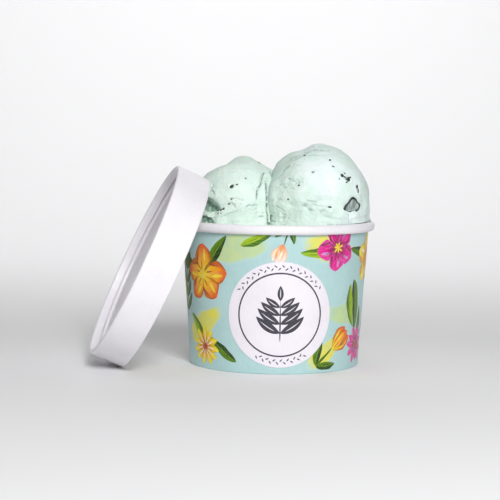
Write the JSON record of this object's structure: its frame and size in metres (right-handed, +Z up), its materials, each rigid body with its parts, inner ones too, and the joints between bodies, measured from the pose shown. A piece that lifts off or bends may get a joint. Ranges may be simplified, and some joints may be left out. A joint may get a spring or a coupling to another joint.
{
  "type": "ice cream cup",
  "caption": "Round paper ice cream cup with a rolled rim, a round front label and two scoops heaped above it, its paper lid leaning against its side.",
  "frame": {"origin": "on the surface that the cup stands on, under the middle of the whole object's box", "axes": "+Z up along the cup's axis, +X from the leaning lid towards the cup, -Y out of the side with the label"},
  "size_m": [0.1398, 0.117, 0.1088],
  "materials": {
    "printed_paper": "satin",
    "white_paper": "satin",
    "label_paper": "satin",
    "mint_ice_cream": "satin"
  },
  "bodies": {
    "root": {"cup_wall": "printed_paper", "cup_base": "white_paper", "label": "label_paper", "lid_band": "white_paper", "lid_panel": "white_paper", "ice_cream_bed": "mint_ice_cream", "scoop_left": "mint_ice_cream", "scoop_right": "mint_ice_cream"}
  },
  "joints": []
}
